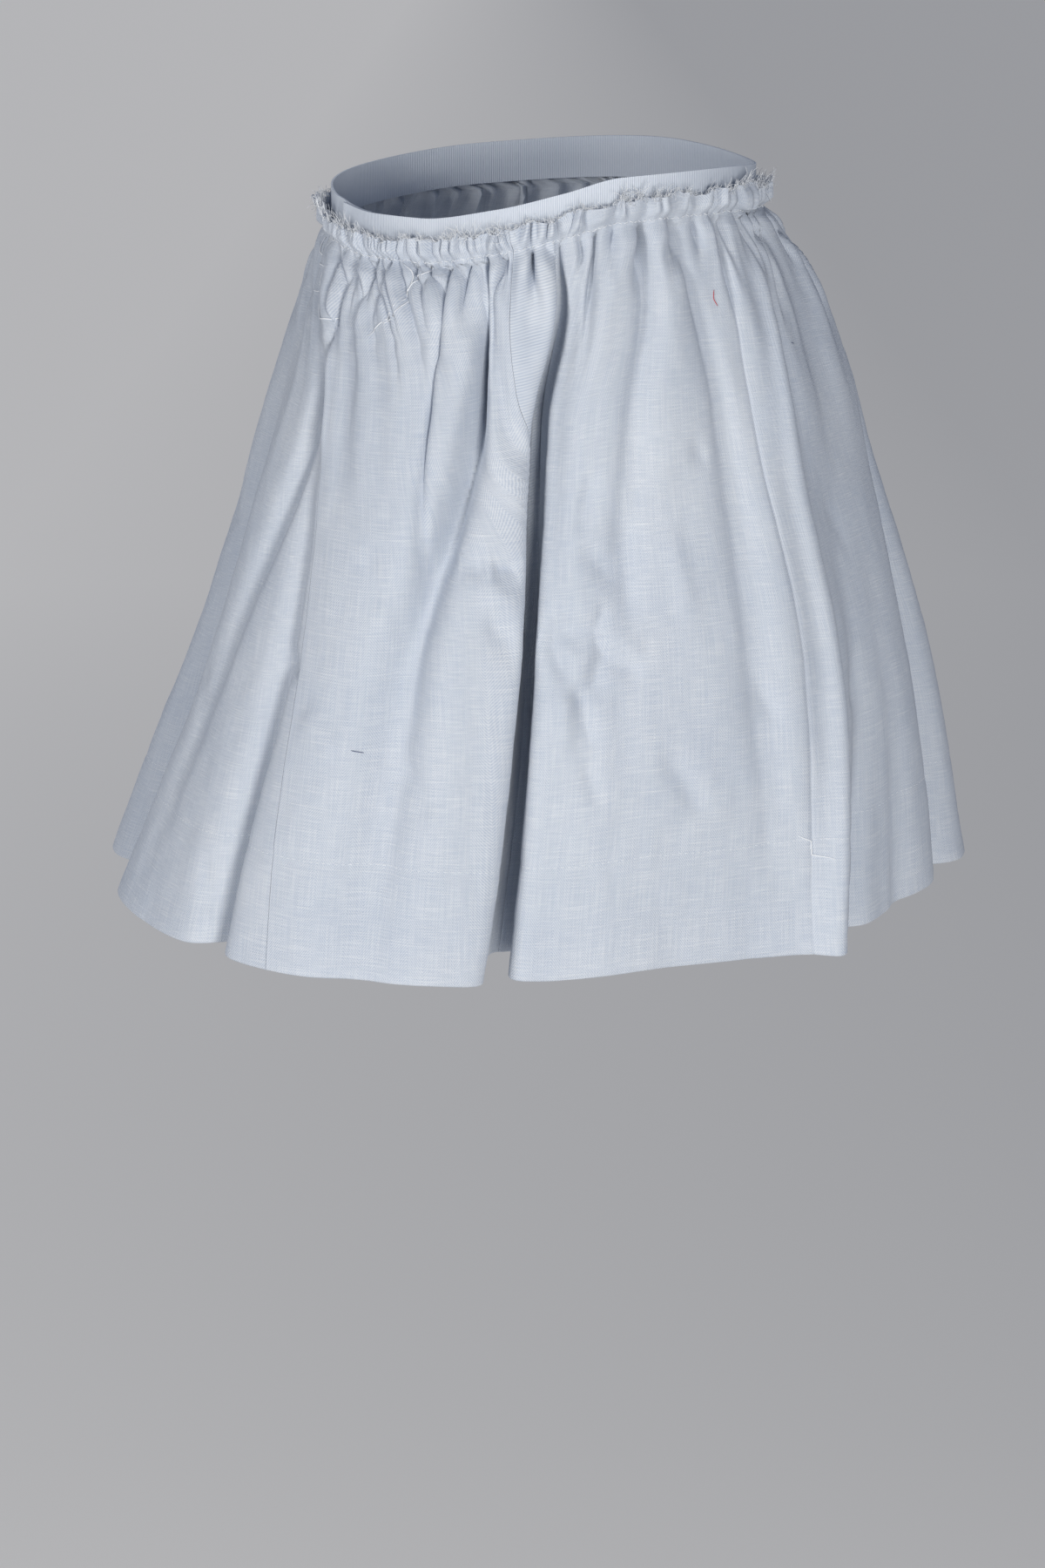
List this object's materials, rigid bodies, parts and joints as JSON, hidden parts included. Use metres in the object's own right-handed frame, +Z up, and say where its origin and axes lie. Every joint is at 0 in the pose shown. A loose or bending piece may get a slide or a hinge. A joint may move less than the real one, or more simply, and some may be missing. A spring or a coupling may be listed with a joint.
{
  "type": "mini skirt",
  "caption": "Gathered linen mini skirt on a ribbon waist, kept in its worn, flared form with soft folds and a turned-up hem.",
  "frame": {"origin": "on the axis of the waist, between the highest and the lowest of its gathering stitches", "axes": "-Y is the wearer's front, +X the wearer's left, +Z up"},
  "size_m": [0.4541, 0.4646, 0.4142],
  "materials": {
    "cloth": "pale blue linen herringbone, matt, with slubs across the grain",
    "ribbon": "pale blue grosgrain ribbon, low sheen",
    "thread": "pale sewing thread and frayed yarn, matt",
    "tack_thread": "red basting thread, matt"
  },
  "bodies": {
    "root": {"front_panel": "cloth", "left_front_panel": "cloth", "back_panel": "cloth", "right_front_panel": "cloth", "waist_ribbon": "ribbon"}
  },
  "joints": []
}
